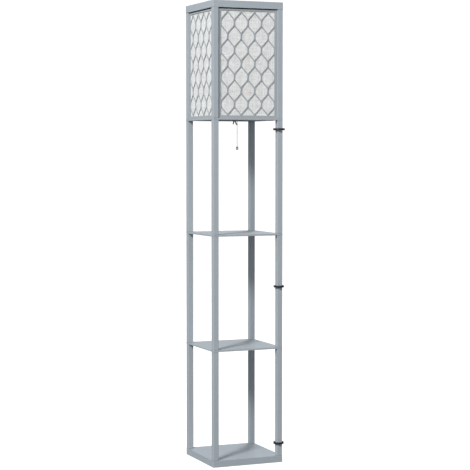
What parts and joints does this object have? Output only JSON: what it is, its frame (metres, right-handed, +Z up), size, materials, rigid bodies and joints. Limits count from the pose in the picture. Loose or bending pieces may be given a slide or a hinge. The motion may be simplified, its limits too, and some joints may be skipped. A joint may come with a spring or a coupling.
{
  "type": "shelf floor lamp",
  "caption": "Square tower floor lamp with open shelves, a trellis-sided linen lamp box at the top and a pull-chain switch under it.",
  "frame": {"origin": "middle of the footprint on the floor, at the underside of the middle foot pad", "axes": "+Z up, -Y towards the front, +X towards the right seen from the front"},
  "size_m": [0.2701, 0.2701, 1.6],
  "materials": {
    "frame_paint": "sprayed pale blue-grey satin paint on wood board",
    "batten_wood": "bare softwood",
    "linen": "off-white linen weave on a stiff liner",
    "fastener_steel": "zinc-plated steel",
    "strap_steel": "zinc-plated steel strip",
    "bronze_steel": "dark bronze coating",
    "chrome_pull": "polished chrome",
    "nickel_chain": "nickel-plated ball chain",
    "foot_rubber": "dark rubber foot pad",
    "switch_plastic": "moulded thermoset",
    "contact_brass": "plain brass",
    "holder_plastic": "white moulded plastic",
    "porcelain": "glazed porcelain",
    "bulb_metal": "plain aluminium",
    "bulb_plastic": "white moulded plastic",
    "bulb_glass": "opal diffuser",
    "grommet_rubber": "black rubber",
    "ring_plastic": "black nylon"
  },
  "bodies": {
    "frame": {"base_panel": "frame_paint", "lower_shelf": "frame_paint", "upper_shelf": "frame_paint", "lamp_box_floor": "frame_paint", "lid": "frame_paint", "lower_post_front_left": "frame_paint", "lower_post_front_right": "frame_paint", "lower_post_back_right": "frame_paint", "lower_post_back_left": "frame_paint", "middle_post_front_left": "frame_paint", "middle_post_front_right": "frame_paint", "middle_post_back_right": "frame_paint", "middle_post_back_left": "frame_paint", "upper_post_front_left": "frame_paint", "upper_post_front_right": "frame_paint", "upper_post_back_right": "frame_paint", "upper_post_back_left": "frame_paint", "lamp_post_front_left": "frame_paint", "lamp_post_front_right": "frame_paint", "lamp_post_back_right": "frame_paint", "lamp_post_back_left": "frame_paint", "trellis_front": "frame_paint", "trellis_right": "frame_paint", "trellis_back": "frame_paint", "trellis_left": "frame_paint", "shade_battens": "batten_wood", "lid_dowels": "batten_wood", "shade_front": "linen", "shade_right": "linen", "shade_back": "linen", "shade_left": "linen", "base_screws": "fastener_steel", "post_inserts": "fastener_steel", "post_studs": "fastener_steel", "strap_screws": "fastener_steel", "holder_screws": "fastener_steel", "guide_screw": "fastener_steel", "guide_nut": "fastener_steel", "switch_pin": "fastener_steel", "switch_spring": "fastener_steel", "holder_strap": "strap_steel", "chain_guide": "bronze_steel", "foot_pads": "foot_rubber", "switch_housing": "switch_plastic", "switch_contacts": "contact_brass", "centre_contact": "contact_brass", "screw_shell": "contact_brass", "holder_shell": "holder_plastic", "holder_base": "porcelain", "bulb_cap": "bulb_metal", "bulb_body": "bulb_plastic", "bulb_globe": "bulb_glass", "cable_grommet": "grommet_rubber", "cable_rings": "ring_plastic", "top_cable_ring": "ring_plastic"},
    "upper_chain": {"upper_chain": "nickel_chain"},
    "hanging_chain": {"pull_chain": "nickel_chain", "chain_pull": "chrome_pull"},
    "lever": {"switch_lever": "switch_plastic"},
    "cam": {"switch_cam": "switch_plastic"}
  },
  "joints": [
    {"name": "chain_pull_down", "type": "slide", "parent": "frame", "child": "upper_chain", "axis": [0, 0, -1], "range_m": [0, 0.0076], "stiffness_N_per_m": 60, "springref_m": -0.02},
    {"name": "chain_swing", "type": "hinge", "parent": "upper_chain", "child": "hanging_chain", "pos_m": [0.0127, 0, 1.17876], "axis": [0, 1, 0], "range_deg": [-35, 35]},
    {"name": "lever_turn", "type": "hinge", "parent": "frame", "child": "lever", "pos_m": [0.00393, 0, 1.208], "axis": [0, 1, 0], "range_deg": [0, 50]},
    {"name": "cam_turn", "type": "hinge", "parent": "frame", "child": "cam", "pos_m": [0.00393, 0, 1.208], "axis": [0, 1, 0], "continuous": true}
  ],
  "couplings": [
    {"joint": "lever_turn", "follows": "chain_pull_down", "rad_per_m": 114}
  ]
}
